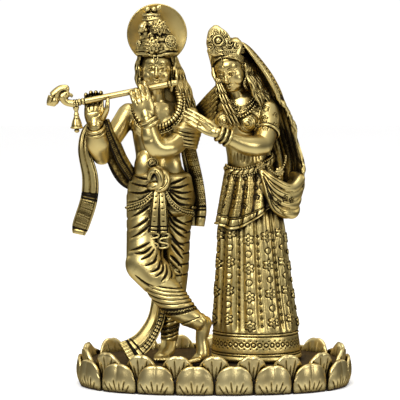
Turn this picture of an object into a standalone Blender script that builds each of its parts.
"""A cast brass group of a flute player and his companion on an oval lotus base.

The pieces are the lotus base, the two figures, the flute with its bird finial and bell,
and the round halo plate. Metres, +Z up, the front faces -Y, and the origin is the middle
of the underside of the base. A figure is drawn in units of its own height, 300 to the
full height of the group above the floor of the base.
"""

import math

import bmesh
import bpy
from mathutils import Matrix, Vector

# Driving dimensions of the base
BASE_WIDTH = 0.229
BASE_DEPTH = 0.138
PLATE_TOP = 0.0205
OUTER_PETAL_HEIGHT = 0.0245
INNER_PETAL_HEIGHT = 0.0335
PETAL_PAIRS = 18
PETAL_THICKNESS = 0.0042
PETAL_BULGE = 0.0046
PETAL_LEAN = 0.0030
ROW_STEP = 0.0075
OVAL_POWER = 2.35

# Driving dimensions of the figures, the flute and the halo
FIGURE_HEIGHT = 0.300
FLUTE_RADIUS = 0.0026
HALO_RADIUS = 0.0254
HALO_THICKNESS = 0.0018
HALO_DISH = 0.0022
SEAT_GAP = 0.0003
FLUTE_CLEARANCE = 0.0004
TOUCH_CLEARANCE = 0.0007

# Folds carved on each thigh, and wraps round each shin
FOLDS = 6
WRAPS = 5

# How finely the cast surfaces are fused, and the share of the facets that stays
BASE_VOXEL = 0.0010
VOXELS_TALL = 300
KRISHNA_FACET_SHARE = 0.0186
RADHA_FACET_SHARE = 0.0113
BASE_FACET_SHARE = 0.0122
FLUTE_FACET_SHARE = 0.024
ARM_FACET_SHARE = 0.03

UNITS_TALL = 300
UNIT = FIGURE_HEIGHT / UNITS_TALL
VOXEL = FIGURE_HEIGHT / VOXELS_TALL
FLOOR = PLATE_TOP + SEAT_GAP

BRASS = ((0.62, 0.46, 0.15, 1.0), 0.32, 1.0)


def at(x, y, z):
    """A point of the figures: x and y from the middle of the base, z from its floor, in figure units."""
    return Vector((x * UNIT, y * UNIT, FLOOR + z * UNIT))


# The pose of the flute player: joints in figure units
KRISHNA = {
    "pelvis": at(-45, 0, 146),
    "belly": at(-47, -1, 160),
    "waist": at(-47, 0, 172),
    "chest": at(-48, 0, 194),
    "collar": at(-48, 0, 209),
    "neck": at(-48, -3, 222),
    "head": at(-48.5, -8, 243),
    "shoulder_r": at(-72, 3, 207),
    "elbow_r": at(-94, -10, 173.5),
    "wrist_r": at(-98.5, -27, 198),
    "shoulder_l": at(-25, 2, 204),
    "elbow_l": at(-43, -37, 181),
    "wrist_l": at(-55, -40, 205),
    "hip_r": at(-58, 0, 138),
    "knee_r": at(-58, -19, 82),
    "ankle_r": at(-14, -34, 36),
    "ball_r": at(-14, -36, 6),
    "hip_l": at(-31, 4, 138),
    "knee_l": at(-34, 6, 78),
    "ankle_l": at(-38, 5, 15),
    "toe_l": at(-44, -20, 4),
}

# The pose of her companion
RADHA = {
    "pelvis": at(33, 2, 142),
    "waist": at(28, 1, 170),
    "ribs": at(26, 0, 190),
    "chest": at(26, 0, 205),
    "collar": at(25, 0, 214),
    "neck": at(19, -4, 224),
    "head": at(12, -9, 242),
    "shoulder_l": at(45, -2, 212),
    "elbow_l": at(40, -24, 182),
    "wrist_l": at(3, -43, 193),
    "shoulder_r": at(4, 5, 212),
    "elbow_r": at(-9, 17, 203),
    "wrist_r": at(-26, 23, 203),
}

FLUTE_MOUTH_END = at(-31, -31, 234)
FLUTE_BIRD_END = at(-118, -31, 216.5)
HALO_CENTRE = at(-48, 13.5, 274)


def material(name, look):
    """A Principled material from a colour, a roughness and a metallic value."""
    colour, roughness, metallic = look
    made = bpy.data.materials.new(name)
    made.use_nodes = True
    shader = made.node_tree.nodes["Principled BSDF"]
    shader.inputs["Base Color"].default_value = colour
    shader.inputs["Roughness"].default_value = roughness
    shader.inputs["Metallic"].default_value = metallic
    made.diffuse_color = colour
    return made


def place(name, bm, look=None):
    """Turns a bmesh into a named object with its own material."""
    bmesh.ops.recalc_face_normals(bm, faces=bm.faces)
    mesh = bpy.data.meshes.new(name)
    bm.to_mesh(mesh)
    bm.free()
    obj = bpy.data.objects.new(name, mesh)
    bpy.context.scene.collection.objects.link(obj)
    if look:
        mesh.materials.append(material(name + "_brass", look))
    return obj


def as_cutter(obj):
    """Marks an object as a hidden cutting tool."""
    obj.hide_render = True
    obj.display_type = "WIRE"
    return obj


def smooth_path(points, per_span=6):
    """Points on a Catmull-Rom curve through the given ones, which may be numbers, tuples or vectors."""
    pts = [Vector(p) for p in points]
    padded = [2 * pts[0] - pts[1], *pts, 2 * pts[-1] - pts[-2]]
    out = []
    for i in range(len(pts) - 1):
        a, b, c, d = padded[i : i + 4]
        for k in range(per_span):
            t = k / per_span
            out.append(
                0.5
                * (
                    2 * b
                    + (c - a) * t
                    + (2 * a - 5 * b + 4 * c - d) * t**2
                    + (3 * b - a - 3 * c + d) * t**3
                )
            )
    return [*out, pts[-1]]


def rings_to_solid(bm, rings):
    """Skins a list of equal rings of points and closes both ends."""
    rows = [[bm.verts.new(p) for p in ring] for ring in rings]
    for low, high in zip(rows, rows[1:]):
        for i in range(len(low)):
            j = (i + 1) % len(low)
            bm.faces.new((low[i], low[j], high[j], high[i]))
    for row in (rows[0], rows[-1]):
        middle = bm.verts.new(sum((v.co for v in row), Vector()) / len(row))
        for i in range(len(row)):
            bm.faces.new((row[i], row[(i + 1) % len(row)], middle))


def limb(bm, points, radii, flat=1.0, wide=(1, 0, 0), sides=12, per_span=5, grow=0.0):
    """A tapering limb with round ends along a smooth curve.

    radii are in figure units, one per point. flat is its thickness as a share of its
    width, and wide is the direction of that width. grow adds metres to every radius.
    """
    spine = smooth_path([Vector((*p, 0))[:3] for p in points], per_span)
    widths = [v.x for v in smooth_path([(r * UNIT + grow, 0, 0) for r in radii], per_span)]
    wide = Vector(wide)
    rings = []
    first, last = spine[0] - spine[1], spine[-1] - spine[-2]
    for k in (0.15, 0.5, 0.8):
        reach = math.sqrt(1 - k * k) * widths[0] * flat
        rings.append((spine[0] + first.normalized() * reach, widths[0] * k, -first))
    for i, p in enumerate(spine):
        ahead = spine[min(i + 1, len(spine) - 1)] - spine[max(i - 1, 0)]
        rings.append((p, widths[i], ahead))
    for k in (0.8, 0.5, 0.15):
        reach = math.sqrt(1 - k * k) * widths[-1] * flat
        rings.append((spine[-1] + last.normalized() * reach, widths[-1] * k, last))
    solid = []
    for centre, radius, ahead in rings:
        ahead = ahead.normalized()
        across = (wide - wide.dot(ahead) * ahead).normalized()
        over = ahead.cross(across)
        turn = [2 * math.pi * i / sides for i in range(sides)]
        solid.append([centre + radius * (math.cos(a) * across + math.sin(a) * flat * over) for a in turn])
    rings_to_solid(bm, solid)


def blob(bm, centre, radii, turn=(0, 0, 0), detail=12):
    """An ellipsoid, with radii in figure units, turned by degrees about X, Y and Z."""
    size = Matrix.Diagonal((*[r * UNIT for r in radii], 1))
    spin = Matrix.Rotation(math.radians(turn[2]), 4, "Z")
    spin = spin @ Matrix.Rotation(math.radians(turn[1]), 4, "Y")
    spin = spin @ Matrix.Rotation(math.radians(turn[0]), 4, "X")
    matrix = Matrix.Translation(centre) @ spin @ size
    bmesh.ops.create_uvsphere(bm, u_segments=detail + 4, v_segments=detail, radius=1, matrix=matrix)


def wrap(bm, top, low, radii, flat, start, end, thick):
    """A fold of cloth that winds over a limb.

    top and low are the ends of the limb and radii its radii there. start and end are
    (share of the way down, degrees about the limb), with -90 to the front and 0 to +X.
    thick is the fold's radius at its start, middle and end.
    """
    down = (low - top).normalized()
    right = (Vector((1, 0, 0)) - down.x * down).normalized()
    back = right.cross(down)
    points = []
    for k in range(5):
        t = start[0] + (end[0] - start[0]) * k / 4
        a = math.radians(start[1] + (end[1] - start[1]) * k / 4)
        reach = (radii[0] + (radii[1] - radii[0]) * t) * UNIT
        points.append(top.lerp(low, t) + reach * (math.cos(a) * right + flat * math.sin(a) * back))
    limb(bm, points, [thick[0], (thick[0] + thick[1]) / 2, thick[1], (thick[1] + thick[2]) / 2, thick[2]],
         sides=6, per_span=2)


def bangle(bm, centre, axis, radius, thick, grow=0.0):
    """A round ring of metal about an arm, sizes in figure units."""
    axis = Vector(axis).normalized()
    side = axis.orthogonal().normalized()
    over = axis.cross(side)
    count, sides = 20, 8
    loops = []
    for i in range(count):
        a = 2 * math.pi * i / count
        out = math.cos(a) * side + math.sin(a) * over
        ring = []
        for k in range(sides):
            b = 2 * math.pi * k / sides
            reach = radius * UNIT + (thick * UNIT + grow) * math.cos(b)
            ring.append(bm.verts.new(centre + out * reach + axis * (thick * UNIT + grow) * math.sin(b)))
        loops.append(ring)
    for i in range(count):
        here, there = loops[i], loops[(i + 1) % count]
        for k in range(sides):
            j = (k + 1) % sides
            bm.faces.new((here[k], here[j], there[j], there[k]))


def hand(bm, wrist, forward, palm, width, curls, lengths, thumb, grow=0.0):
    """A palm with four fingers and a thumb.

    forward points from the wrist to the knuckles and palm is the way the palm faces.
    curls are the bends in degrees at the knuckle and at the middle joint, one pair for
    each finger, and lengths those of its two halves in figure units. thumb is a list of
    points.
    """
    forward = Vector(forward).normalized()
    palm = Vector(palm)
    palm = (palm - palm.dot(forward) * forward).normalized()
    side = forward.cross(palm)
    reach = 15 * UNIT
    knuckles = wrist + forward * reach
    limb(bm, [wrist, wrist + forward * reach * 0.5, knuckles], [width * 0.36, width * 0.5, width * 0.5],
         flat=0.42, wide=side, grow=grow)
    for i, ((bend, curl), (near, far)) in enumerate(zip(curls, lengths)):
        start = knuckles + side * (i - 1.5) * width * 0.245 * UNIT
        first = math.radians(bend)
        second = math.radians(bend + curl)
        way_1 = forward * math.cos(first) + palm * math.sin(first)
        way_2 = forward * math.cos(second) + palm * math.sin(second)
        middle = start + way_1 * near * UNIT
        tip = middle + way_2 * far * UNIT
        limb(bm, [start, middle, tip], [1.75, 1.65, 1.35], sides=8, per_span=3, grow=grow)
    limb(bm, thumb, [2.4, 2.1, 1.6][: len(thumb)], sides=8, per_span=3, grow=grow)


def fuse(obj, voxel, rounds, share, factor=0.5):
    """Fuses the shapes in an object into one skin, softens it and thins out its facets."""
    remesh = obj.modifiers.new("Fuse", "REMESH")
    remesh.mode = "VOXEL"
    remesh.voxel_size = voxel
    remesh.use_smooth_shade = True
    soften = obj.modifiers.new("Soften", "SMOOTH")
    soften.factor = factor
    soften.iterations = rounds
    thin = obj.modifiers.new("Facets", "DECIMATE")
    thin.ratio = share


def cut(obj, cutter):
    """Takes a cutter's volume out of an object."""
    modifier = obj.modifiers.new("Cut_" + cutter.name, "BOOLEAN")
    modifier.operation = "DIFFERENCE"
    modifier.solver = "MANIFOLD"
    modifier.object = cutter


def box_cutter(name, low, high):
    """A hidden box between two corners."""
    bm = bmesh.new()
    bmesh.ops.create_cube(bm, size=1)
    for v in bm.verts:
        v.co = Vector([low[i] if v.co[i] < 0 else high[i] for i in range(3)])
    return as_cutter(place(name, bm))


def oval(turn, width, depth):
    """A point of the base's oval outline, and the outward direction there."""
    c, s = math.cos(turn), math.sin(turn)
    power = 2 / OVAL_POWER
    x = math.copysign(abs(c) ** power, c) * width / 2
    y = math.copysign(abs(s) ** power, s) * depth / 2
    out = Vector((x / width**2, y / depth**2, 0)).normalized()
    return Vector((x, y, 0)), out


def even_oval(count, width, depth, shift=0.0):
    """Points evenly spaced along the oval, starting at the front, each with its outward direction."""
    fine = [oval(-math.pi / 2 + 2 * math.pi * i / 1440, width, depth) for i in range(1441)]
    run = [0.0]
    for a, b in zip(fine, fine[1:]):
        run.append(run[-1] + (b[0] - a[0]).length)
    found = []
    k = 0
    for i in range(count):
        goal = run[-1] * (i + shift) / count
        while run[k + 1] < goal:
            k += 1
        found.append(fine[k])
    return found, run[-1] / count


def petal(bm, foot, out, breadth, height, low):
    """One cupped lotus petal: a rounded arch that bulges outwards and nods at its tip."""
    across = Vector((-out.y, out.x, 0))
    columns, rows = 6, 6
    faces = []
    for side in (1, -1):
        grid = []
        for r in range(rows + 1):
            v = r / rows
            line = []
            for c in range(-columns, columns + 1):
                u = c / columns
                arch = math.sqrt(max(0.0, 1 - abs(u) ** 2.6))
                rise = low + (height - low) * v * (0.35 + 0.65 * arch)
                taper = 0.86 + 0.14 * math.sin(math.pi * min(1, v * 1.3))
                bulge = (1 - u * u) * math.sin(math.pi * (0.2 + 0.62 * v)) * PETAL_BULGE
                ridge = 0.0007 * math.exp(-((u / 0.12) ** 2)) * v
                lean = PETAL_LEAN * (v - 0.5)
                depth = bulge + lean + side * PETAL_THICKNESS * (0.5 - 0.25 * v) - (ridge if side > 0 else 0)
                line.append(foot + across * u * breadth / 2 * taper + out * depth + Vector((0, 0, rise)))
            grid.append([bm.verts.new(p) for p in line])
        faces.append(grid)
    front, back = faces
    wide = 2 * columns
    for r in range(rows):
        for c in range(wide):
            bm.faces.new((front[r][c], front[r][c + 1], front[r + 1][c + 1], front[r + 1][c]))
            bm.faces.new((back[r][c], back[r + 1][c], back[r + 1][c + 1], back[r][c + 1]))
    for r in range(rows):
        bm.faces.new((front[r][0], front[r + 1][0], back[r + 1][0], back[r][0]))
        bm.faces.new((front[r][wide], back[r][wide], back[r + 1][wide], front[r + 1][wide]))
    for c in range(wide):
        bm.faces.new((front[0][c], back[0][c], back[0][c + 1], front[0][c + 1]))
        bm.faces.new((front[rows][c], front[rows][c + 1], back[rows][c + 1], back[rows][c]))


def lotus_base():
    """The oval floor plate inside two rows of lotus petals, flat below."""
    bm = bmesh.new()
    inset = PETAL_THICKNESS
    plate, _ = even_oval(96, BASE_WIDTH - 2 * inset, BASE_DEPTH - 2 * inset)
    low_edge = -0.004
    levels = ((low_edge, 0.0), (PLATE_TOP * 0.55, 0.0), (PLATE_TOP * 0.8, ROW_STEP * 0.8),
              (PLATE_TOP, ROW_STEP * 1.2))
    rings_to_solid(bm, [[p - out * back + Vector((0, 0, z)) for p, out in plate] for z, back in levels])
    rows = (
        (0.5, 2 * inset, OUTER_PETAL_HEIGHT, 1.0),
        (0.0, 2 * (inset + ROW_STEP), INNER_PETAL_HEIGHT, 1.02),
    )
    for shift, back, height, breadth in rows:
        feet, step = even_oval(PETAL_PAIRS, BASE_WIDTH - back, BASE_DEPTH - back, shift)
        for foot, out in feet:
            petal(bm, foot, out, step * breadth, height, low_edge)
    base = place("lotus_base", bm, BRASS)
    fuse(base, BASE_VOXEL, 1, BASE_FACET_SHARE)
    reach = BASE_WIDTH
    cut(base, box_cutter("under_base", (-reach, -reach, -reach), (reach, reach, 0)))
    return base


def krishna_body(bm, pose):
    """Trunk, head, arms and legs of the flute player."""
    limb(bm, [pose["pelvis"], pose["belly"], pose["waist"], pose["chest"], pose["collar"]],
         [25, 21, 18.5, 20.5, 19], flat=0.66, sides=20)
    for side, x in (("_r", -11), ("_l", 11)):
        blob(bm, pose["chest"] + Vector((x * UNIT, -7 * UNIT, 4 * UNIT)), (11, 8, 9))
        limb(bm, [pose["shoulder" + side], pose["chest"] + Vector((x * UNIT * 0.6, 0, 9 * UNIT))], [8.5, 9])
    limb(bm, [pose["collar"], pose["neck"], pose["head"]], [10, 7.2, 8])
    blob(bm, pose["head"] + Vector((0, 0, 4 * UNIT)), (12.6, 13.5, 14.5))
    blob(bm, pose["head"] + Vector((0, -3.5 * UNIT, -4 * UNIT)), (10.4, 10.5, 10.5))
    limb(bm, [pose["shoulder_r"], (pose["shoulder_r"] + pose["elbow_r"]) / 2, pose["elbow_r"]], [9, 8.4, 9])
    limb(bm, [pose["elbow_r"], pose["elbow_r"].lerp(pose["wrist_r"], 0.45), pose["wrist_r"]], [9, 10.8, 6.8])
    limb(bm, [pose["shoulder_l"], (pose["shoulder_l"] + pose["elbow_l"]) / 2, pose["elbow_l"]], [9, 8.6, 8.6])
    limb(bm, [pose["elbow_l"], pose["elbow_l"].lerp(pose["wrist_l"], 0.4), pose["wrist_l"]], [8.6, 8.8, 6.2])
    limb(bm, [pose["hip_r"], pose["hip_r"].lerp(pose["knee_r"], 0.5), pose["knee_r"]],
         [15.5, 15.2, 15.4], sides=16)
    shin_r = pose["knee_r"].lerp(pose["ankle_r"], 0.45)
    limb(bm, [pose["knee_r"], shin_r, pose["ankle_r"]], [15, 12.5, 8], sides=16)
    limb(bm, [pose["hip_l"], pose["hip_l"].lerp(pose["knee_l"], 0.5), pose["knee_l"]],
         [15.5, 14.5, 12.5], sides=16)
    limb(bm, [pose["knee_l"], pose["ankle_l"]], [12, 7.5], sides=16)
    limb(bm, [pose["ankle_r"] + Vector((4 * UNIT, 1 * UNIT, 1 * UNIT)), at(-10.5, -32, 22), at(-13, -35, 10),
              at(-17, -43, 3.6)], [7.2, 6.4, 6.8, 4.6])
    blob(bm, at(-8, -29, 34), (5, 6.4, 6.4))
    limb(bm, [pose["ankle_l"], at(-41, -8, 6), pose["toe_l"]], [6.5, 6.2, 5.6], flat=0.75)


def krishna_hands(bm, pose):
    """Both hands on the flute: the right one palm forwards, the left one seen from its back."""
    hand(bm, pose["wrist_r"], (-0.05, 0.10, 1), (0, -1, 0), 17,
         [(4, 86), (2, 88), (2, 88), (4, 86)], [(11, 6), (12.5, 6), (12.5, 6), (12, 6)],
         [at(-92, -29, 205), at(-88.5, -36.5, 212), at(-87.5, -37, 220)])
    hand(bm, pose["wrist_l"], (-0.32, 0.06, 1), (0, 1, 0), 17.5,
         [(6, 62), (8, 66), (10, 68), (10, 68)], [(13, 6), (12, 6), (10, 6), (9, 6)],
         [at(-55, -36, 212), at(-51, -32, 220), at(-52, -27, 226)])
    bangle_r = pose["wrist_r"].lerp(pose["elbow_r"], 0.12)
    bangle_l = pose["wrist_l"].lerp(pose["elbow_l"], 0.10)
    for k in (0, 1):
        step = 3.4 * k * UNIT
        up_r = (pose["elbow_r"] - pose["wrist_r"]).normalized()
        up_l = (pose["elbow_l"] - pose["wrist_l"]).normalized()
        bangle(bm, bangle_r + up_r * step, up_r, 7.2 + 0.4 * k, 1.7)
        bangle(bm, bangle_l + up_l * step, up_l, 6.9 + 0.4 * k, 1.7)


def krishna_crown(bm):
    """A tall tiered crown with two feather leaves and a knob, leaning a little to his right."""
    tiers = ((-48, -6, 259, 17.2, 3.0), (-48, -5, 264, 16.4, 3.2), (-49, -4, 269.5, 14.2, 3.2),
             (-50, -3, 275, 11.4, 3.2), (-51, -2, 280.5, 9, 3.2), (-52, -1, 286, 7.4, 2.4),
             (-53, 0, 290.5, 5.4, 2.4))
    for x, y, z, radius, thick in tiers:
        limb(bm, [at(x, y, z - 3), at(x, y, z + 3)], [radius, radius * 0.9], flat=0.84, sides=18, per_span=2)
        blob(bm, at(x, y, z), (radius + 0.8, radius * 0.84 + 0.8, thick * 0.6))
    for x, y, z, wide in ((-50, -17.5, 266, 7.4), (-45.5, -13.5, 279.5, 7.8)):
        limb(bm, [at(x, y - 1, z - 7), at(x, y - 1.5, z), at(x + 0.6, y + 2, z + 8)],
             [wide * 0.6, wide, 2], flat=0.42, sides=10)
    limb(bm, [at(-54, -9, 272), at(-60, -11, 277), at(-62, -10, 282)], [3, 3.4, 1.8])
    blob(bm, at(-36, -11, 267.5), (4.6, 3, 5))
    for x, y in ((-55.6, -3), (-50.4, -3)):
        blob(bm, at(x, y, 294), (2.8, 2.8, 2.5))
    limb(bm, [at(-48, -2, 266), at(-48, 14, 270)], [6, 7], sides=10, per_span=2)


def krishna_hair(bm):
    """Hair combed back and falling behind the shoulders, with a thick lock on his left side."""
    limb(bm, [at(-48, 1, 256), at(-47, 4, 238), at(-43, 6, 218), at(-38, 7, 204)],
         [16, 16.5, 18, 16], flat=0.6)
    for k in range(3):
        limb(bm, [at(-35 + 2 * k, -9 + 3 * k, 254), at(-31.5 + 2.4 * k, -8 + 3 * k, 240),
                  at(-30 + 4.4 * k, -8 + 3 * k, 226), at(-27 + 5 * k, -8 + 3 * k, 213)],
             [2.6, 3.2, 3.4, 2.4], sides=8)
    limb(bm, [at(-61.5, -8, 256), at(-63, -6, 244), at(-62, -4, 231)], [3.4, 3.8, 3])
    limb(bm, [at(-62, -2, 254), at(-63.5, 0, 242), at(-62.5, 2, 229)], [3.4, 3.8, 3.2])
    for x in (-61.5, -35):
        blob(bm, at(x, -8, 243), (2.2, 3, 5))


def krishna_dress(bm):
    """Loincloth wraps, waist knot and hanging pleats, the scarf and its ends, and the neck garland."""
    limb(bm, [at(-45, -1, 157), at(-45, -1, 128)], [26.5, 28], flat=0.68, sides=20, per_span=3)
    limb(bm, [at(-52, -17, 162), at(-45, -20, 158), at(-38, -17, 162)], [4, 7.5, 4])
    for x, low in ((-50, 119), (-42, 117)):
        limb(bm, [at(-46, -20, 155), at(x, -22, 138), at(x, -22, low)], [3.6, 4.4, 4.8], flat=0.55)
        blob(bm, at(x, -22, low - 4), (5.4, 3.4, 5))
    waist_top, waist_low = at(-45, -1, 160), at(-45, -1, 128)
    for i in range(4):
        for turn in (-1, 1):
            wrap(bm, waist_top, waist_low, (26, 28), 0.70, (0.02 + 0.10 * i, -90 + 16 * turn),
                 (0.14 + 0.30 * i, -90 + 92 * turn), (2.0, 3.1, 2.8))
    pose = KRISHNA
    for i in range(FOLDS):
        wrap(bm, pose["hip_r"], pose["knee_r"], (15.0, 14.0), 1, (0.10 + 0.14 * i, -30),
             (0.30 + 0.14 * i, -165), (2.0, 2.9, 2.0))
        wrap(bm, pose["hip_l"], pose["knee_l"], (15.0, 12.0), 1, (0.04 + 0.15 * i, -132),
             (0.38 + 0.15 * i, -10), (2.0, 2.9, 2.0))
    for i in range(WRAPS):
        share = 0.42 + 0.47 * i / (WRAPS - 1)
        centre = pose["knee_r"].lerp(pose["ankle_r"], share)
        bangle(bm, centre, pose["ankle_r"] - pose["knee_r"], 12.0 - 4.2 * (share - 0.4) / 0.5, 1.9)
        share = 0.62 + 0.33 * i / (WRAPS - 1)
        centre = pose["knee_l"].lerp(pose["ankle_l"], share)
        bangle(bm, centre, pose["ankle_l"] - pose["knee_l"], 9.2 - 2.4 * (share - 0.6) / 0.36, 1.7)
    # The scarf from the back over the left shoulder and down his side
    for k in range(4):
        limb(bm, [at(-34 + 3.4 * k, 2, 217 - k), at(-29 + 4.2 * k, -7 + 1.6 * k, 208),
                  at(-29 + 3.6 * k, -11 + 2 * k, 197),
                  at(-25 + 2.6 * k, -7 + 2 * k, 184)], [2.6, 3.4, 3.6, 3], sides=8)
    limb(bm, [at(-26, 4, 214), at(-21, 2, 206), at(-19, 0, 196), at(-19, 0, 186)], [7, 9, 9, 7])
    limb(bm, [at(-23, 6, 190), at(-19, 9, 168), at(-14.5, 10, 146), at(-13, 9, 126), at(-14, 8, 114)],
         [6, 6.6, 6.6, 6.8, 5.6], flat=0.5)
    # The scarf slung from his back over the right forearm, and its hanging end
    limb(bm, [at(-64, 9, 150), at(-73, 8, 155), at(-81, 4, 168), at(-86, 0, 184), at(-92, -2, 196)],
         [9, 9, 8.5, 7, 4], flat=0.4, wide=(1, 0, 0.6))
    limb(bm, [at(-95, -2, 200), at(-105, -8, 194), at(-108, -12, 178), at(-103, -12, 155), at(-104, -12, 136),
              at(-112, -10, 113), at(-113, -10, 108)], [3, 4.5, 5, 6.6, 7, 7, 4], flat=0.42)
    # The end of the loincloth that sweeps out to the base
    limb(bm, [at(-47, 10, 66), at(-46, 5, 46), at(-51, -4, 28), at(-60, -14, 15), at(-74, -22, 8)],
         [5, 8, 9, 9.5, 8.5], flat=0.38, wide=(1, 0, 1))
    limb(bm, [at(-32, -13, 234), at(-29, -16, 222), at(-32, -17, 210), at(-42, -17, 202), at(-50, -17, 199)],
         [3, 3.2, 3.2, 3, 2.4])
    limb(bm, [at(-47, -13, 186), at(-47, -14, 178), at(-46, -14, 168)], [1.8, 3.6, 1.4])


def radha_arms(bm, pose, grow=0.0):
    """Both arms: the left hand rests on his arm, the right arm reaches behind his back."""
    limb(bm, [pose["shoulder_l"], at(45, -10, 198), pose["elbow_l"]], [9.5, 9.4, 8.6], grow=grow)
    limb(bm, [pose["elbow_l"], at(21, -37, 184), pose["wrist_l"]], [8.6, 7.6, 5.2], grow=grow)
    hand(bm, pose["wrist_l"], (-0.82, 0.16, 0.55), (0.25, 0.75, -0.5), 13,
         [(4, 12), (6, 12), (8, 14), (12, 16)], [(7, 6), (7.5, 6.5), (7, 6), (6, 5)],
         [at(-3, -44, 199), at(-5, -41, 206), at(-8, -37, 211)], grow=grow)
    for k in range(3):
        up = (at(21, -37, 184) - pose["wrist_l"]).normalized()
        bangle(bm, pose["wrist_l"] + up * (1 + 4 * k) * UNIT, up, 6.4 + 0.35 * k, 1.6, grow=grow)
    limb(bm, [pose["shoulder_r"], pose["elbow_r"], pose["wrist_r"]], [9, 8, 6], grow=grow)
    blob(bm, pose["wrist_r"] + Vector((-6 * UNIT - grow, 0.5 * UNIT, 0)), (9, 3.4, 6))


def radha_body(bm, pose):
    """Trunk and head, tilted towards him."""
    limb(bm, [pose["pelvis"], pose["waist"], pose["ribs"], pose["chest"], pose["collar"]],
         [24, 17, 18.5, 20, 18], flat=0.7, sides=20)
    for side, x in (("_r", 9), ("_l", 35)):
        limb(bm, [pose["shoulder" + side], at(x + 4, -1, 214)], [8.5, 8])
    for x, y, z in ((28, -13, 200), (9, -14, 202)):
        blob(bm, at(x, y, z), (9, 8, 8.6))
    limb(bm, [pose["collar"], pose["neck"], pose["head"]], [9.5, 6.4, 7.5])
    blob(bm, pose["head"] + Vector((1.5 * UNIT, 1 * UNIT, 4 * UNIT)), (13, 14, 14), (0, -10, 0))
    blob(bm, pose["head"] + Vector((0.5 * UNIT, -4 * UNIT, -4 * UNIT)), (10, 10.5, 10.5), (0, -10, 0))


def pleated_tube(bm, levels, pleats, deep, sides=96, hem=(0, 0, 0)):
    """A tube of cloth with pleats.

    Each level is z, middle x, middle y, half width, half depth and fold share. hem is the
    slope of the lower edge where it rises to +X, the height of its waves and their number.
    """
    rings = []
    fine = smooth_path([(v[0], v[1], v[2]) for v in levels], 3)
    more = smooth_path([(v[3], v[4], v[5]) for v in levels], 3)
    for (z, x, y), (half_wide, half_deep, share) in zip(fine, more):
        ring = []
        for i in range(sides):
            a = 2 * math.pi * i / sides
            fold = 1 + deep * share * math.cos(pleats * a + 0.6 * math.sin(2 * a))
            wide = half_wide * fold * math.cos(a)
            low = 1 - len(rings) / (len(fine) - 1)
            rise = hem[0] * max(0, wide) + hem[1] * math.cos(hem[2] * a + 1.2)
            ring.append(at(x + wide, y + half_deep * fold * math.sin(a), z + low * low * rise))
        rings.append(ring)
    rings_to_solid(bm, rings)


def radha_dress(bm):
    """Skirt, pleated overskirt, belt, hip swags, veil and crown."""
    pleated_tube(bm, ((-2, 35.6, 0, 37.4, 32, 1), (16, 35.4, 0, 36.8, 31, 1), (50, 33.5, 1, 33.2, 27, 1),
                      (85, 32.2, 1, 29.6, 23, 0.8), (112, 31.2, 1, 27, 20, 0.5), (140, 31, 1, 22, 16, 0.3)),
                 18, 0.028)
    for z, grow in ((17, 0.6), (2, 0.8)):
        pleated_tube(bm, ((z - 2, 35.4, 0, 37 + grow, 31.4 + grow, 0),
                          (z + 2, 35.4, 0, 37 + grow, 31.2 + grow, 0)), 18, 0.0)
    pleated_tube(bm, ((112, 30, -0.5, 29.6, 21.5, 1), (124, 30, 0, 27.4, 20.5, 1), (144, 29.5, 0, 22.6, 17, 0.8),
                      (163, 28.5, 0, 18.6, 13.5, 0.4)), 13, 0.045, hem=(0.7, 2.5, 5))
    limb(bm, [at(12, -8, 163), at(22, -13.5, 161), at(33, -13, 163), at(44, -8, 168), at(47, 2, 171)],
         [3, 3, 3, 3, 3])
    for i in range(4):
        drop = 7.0 * i
        limb(bm, [at(38 + i, -15 - i, 162 - 2.2 * i), at(50, -19 - i, 152 - drop),
                  at(64, -12 - i, 145 - drop),
                  at(72 - 1.4 * i, 0, 152 - 1.15 * drop), at(68 - 2 * i, 12, 154 - drop)],
             [2.4, 3.4, 4.2, 4.6, 4.6])
    limb(bm, [at(50, -14, 132), at(59, -8, 127), at(62, 4, 129), at(56, 13, 132)], [5, 7.5, 8.5, 8])
    blob(bm, at(53, -16, 160), (6, 4, 8))


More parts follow.
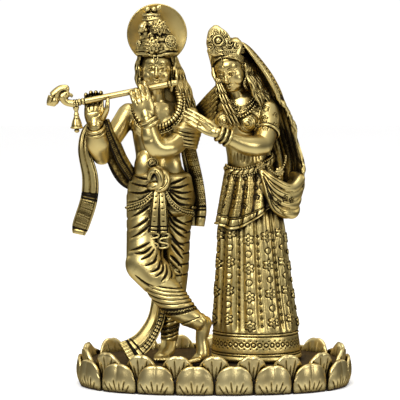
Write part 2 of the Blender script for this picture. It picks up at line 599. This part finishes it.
def veil(bm):
    """The veil as a thick curved sheet: arcs of ovals, open at the front, from crown to hip."""
    # z, middle x, middle y, half width, half depth, start and end of the arc in degrees
    levels = ((266, 16, -4, 8, 8, -60, 240), (262, 17, -4, 14, 13, -48, 232), (252, 20, -3, 20, 18, -44, 212),
              (240, 25, -2, 24, 20, -42, 205), (228, 28, 0, 27.5, 20, -38, 200), (218, 29, 0, 30, 20, -30, 192),
              (206, 31, 1, 33, 20, -12, 165), (190, 34, 2, 35, 20, 2, 138), (170, 38, 3, 36.5, 20, 4, 128),
              (152, 39, 3, 36.5, 21, -10, 132), (138, 38, 3, 35, 21, -20, 140), (127, 37, 3, 29, 19, -25, 145))
    thick = 2.6
    columns, per_span = 28, 3
    spots = smooth_path([v[0:3] for v in levels], per_span)
    sizes = smooth_path([(v[3], v[4], 0) for v in levels], per_span)
    turns = smooth_path([(v[5], v[6], 0) for v in levels], per_span)
    rings = []
    for (z, x, y), (half_wide, half_deep, _), (first, last, _) in zip(spots, sizes, turns):
        outer, inner = [], []
        for i in range(columns + 1):
            a = math.radians(first + (last - first) * i / columns)
            fold = 1.1 * math.cos(9 * a) * min(1, max(0, (235 - z) / 40))
            for shell, line in ((fold, outer), (fold - thick, inner)):
                line.append(at(x + (half_wide + shell) * math.cos(a), y + (half_deep + shell) * math.sin(a), z))
        rings.append(outer + inner[::-1])
    rings_to_solid(bm, rings)
    blob(bm, at(17, -4, 262), (13, 12, 6))
    for k in range(2):
        limb(bm, [at(2 + 3 * k, -19, 234), at(3 + 5 * k, -23, 222), at(7 + 5 * k, -25, 210),
                  at(14 + 5 * k, -22, 196)],
             [1.6, 2.8, 3.4, 3], sides=8)
    for k in range(4):
        limb(bm, [at(26 + 1.5 * k, -12 + 3 * k, 250), at(29 + 1.6 * k, -13 + 3 * k, 238),
                  at(34 + 2 * k, -14 + 3 * k, 227),
                  at(36 + 2.6 * k, -13 + 3 * k, 217)], [2.2, 2.8, 2.8, 1.8], sides=8)
    limb(bm, [at(0, -16, 258), at(12, -22, 259), at(23, -17, 256), at(29, -9, 248)], [1.8, 2.6, 3, 3], sides=8)


def radha_crown(bm):
    """A pointed crown of three leaves over a band."""
    limb(bm, [at(-1, -15, 262), at(8, -21, 260), at(20, -17, 262), at(27, -8, 264)], [2.2, 2.4, 2.4, 2.2])
    limb(bm, [at(4.5, -19, 260), at(3.5, -20, 269), at(1.5, -17, 277), at(1, -14, 281)], [9, 11, 7.4, 2.6],
         flat=0.34, sides=14)
    limb(bm, [at(14, -17, 260), at(16.5, -15, 266), at(17, -12, 270)], [8, 7, 3], flat=0.45, sides=10)
    blob(bm, at(12, -6, 264), (13, 10, 8))
    blob(bm, at(3.5, -23.5, 268.5), (4, 2.2, 4))


def flute():
    """The flute with a bird finial at its far end and a bell on a cord knob below it."""
    bm = bmesh.new()
    along = FLUTE_BIRD_END - FLUTE_MOUTH_END
    rod = FLUTE_RADIUS / UNIT
    limb(bm, [FLUTE_MOUTH_END, FLUTE_MOUTH_END + along * 0.5, FLUTE_BIRD_END], [rod, rod, rod], sides=16)
    x, y, z = -118, -31, 216.5
    blob(bm, at(x + 3, y, z), (4, 3.6, 3.8))
    limb(bm, [at(x, y, z), at(x - 5, y, z + 3), at(x - 8, y, z + 8)], [3, 4, 4.4])
    blob(bm, at(x - 10, y, z + 7), (8, 4, 5), (0, -38, 0))
    blob(bm, at(x - 5.5, y, z + 11), (4, 3.4, 3.2))
    limb(bm, [at(x - 12, y, z + 5), at(x - 17, y, z + 2)], [3.4, 2.2])
    limb(bm, [at(x + 3, y, z - 1), at(x + 3.4, y, z - 8)], [2.8, 2.2])
    limb(bm, [at(x + 3.6, y, z - 10), at(x + 4, y, z - 16), at(x + 4.4, y, z - 20)], [2.6, 4.2, 5])
    blob(bm, at(x + 4.6, y, z - 23), (2.4, 2.4, 2))
    made = place("flute", bm, BRASS)
    fuse(made, VOXEL * 0.6, 1, FLUTE_FACET_SHARE)
    return made


def halo():
    """The round halo plate: a shallow dish turned about its own axis."""
    bm = bmesh.new()
    sides, steps = 36, 2
    rings = []
    for face in (1, -1):
        order = range(1, steps + 1) if face > 0 else range(steps, 0, -1)
        for k in order:
            radius = HALO_RADIUS * k / steps
            depth = -HALO_DISH * (k / steps) ** 2 + face * HALO_THICKNESS / 2
            rings.append([HALO_CENTRE + Vector((radius * math.cos(a), depth, radius * math.sin(a)))
                          for a in (2 * math.pi * i / sides for i in range(sides))])
    rings_to_solid(bm, rings)
    return place("halo", bm, BRASS)


def halo_seat():
    """The cutter that keeps his hair and crown just clear of the halo plate."""
    bm = bmesh.new()
    back = 30 * UNIT
    front = HALO_THICKNESS / 2 + HALO_DISH + SEAT_GAP
    reach = HALO_RADIUS + TOUCH_CLEARANCE
    sides = 48
    rings = []
    for depth in (-front, back):
        rings.append([HALO_CENTRE + Vector((reach * math.cos(a), depth, reach * math.sin(a)))
                      for a in (2 * math.pi * i / sides for i in range(sides))])
    rings_to_solid(bm, rings)
    return as_cutter(place("halo_seat", bm))


def flute_bore():
    """The cutter that keeps his hands and chin just clear of the flute."""
    bm = bmesh.new()
    along = (FLUTE_BIRD_END - FLUTE_MOUTH_END).normalized()
    rod = FLUTE_RADIUS / UNIT
    limb(bm, [FLUTE_MOUTH_END, FLUTE_MOUTH_END.lerp(FLUTE_BIRD_END, 0.93)], [rod, rod], sides=16, per_span=2,
         wide=along.orthogonal(), grow=FLUTE_CLEARANCE)
    return as_cutter(place("flute_bore", bm))


def arm_room():
    """The cutter that keeps him just clear of her arms: her arms, a little thicker."""
    bm = bmesh.new()
    radha_arms(bm, RADHA, grow=TOUCH_CLEARANCE)
    made = as_cutter(place("arm_room", bm))
    remesh = made.modifiers.new("Fuse", "REMESH")
    remesh.mode = "VOXEL"
    remesh.voxel_size = VOXEL
    thin = made.modifiers.new("Facets", "DECIMATE")
    thin.ratio = ARM_FACET_SHARE
    return made


def krishna():
    """The flute player, cast in one piece with his dress, crown and scarf."""
    bm = bmesh.new()
    krishna_body(bm, KRISHNA)
    krishna_hands(bm, KRISHNA)
    krishna_crown(bm)
    krishna_hair(bm)
    krishna_dress(bm)
    made = place("krishna", bm, BRASS)
    fuse(made, VOXEL, 2, KRISHNA_FACET_SHARE)
    return made


def radha():
    """His companion, cast in one piece with her skirt, veil and crown."""
    bm = bmesh.new()
    radha_body(bm, RADHA)
    radha_arms(bm, RADHA)
    radha_dress(bm)
    veil(bm)
    radha_crown(bm)
    made = place("radha", bm, BRASS)
    fuse(made, VOXEL, 2, RADHA_FACET_SHARE)
    return made


def main():
    """Clears the scene and builds the five pieces of the group."""
    for obj in list(bpy.data.objects):
        bpy.data.objects.remove(obj)
    lotus_base()
    him, her = krishna(), radha()
    flute()
    halo()
    reach = BASE_WIDTH
    ground = box_cutter("ground", (-reach, -reach, -reach), (reach, reach, FLOOR))
    for cutter in (ground, flute_bore(), halo_seat(), arm_room()):
        cut(him, cutter)
    cut(her, ground)


main()
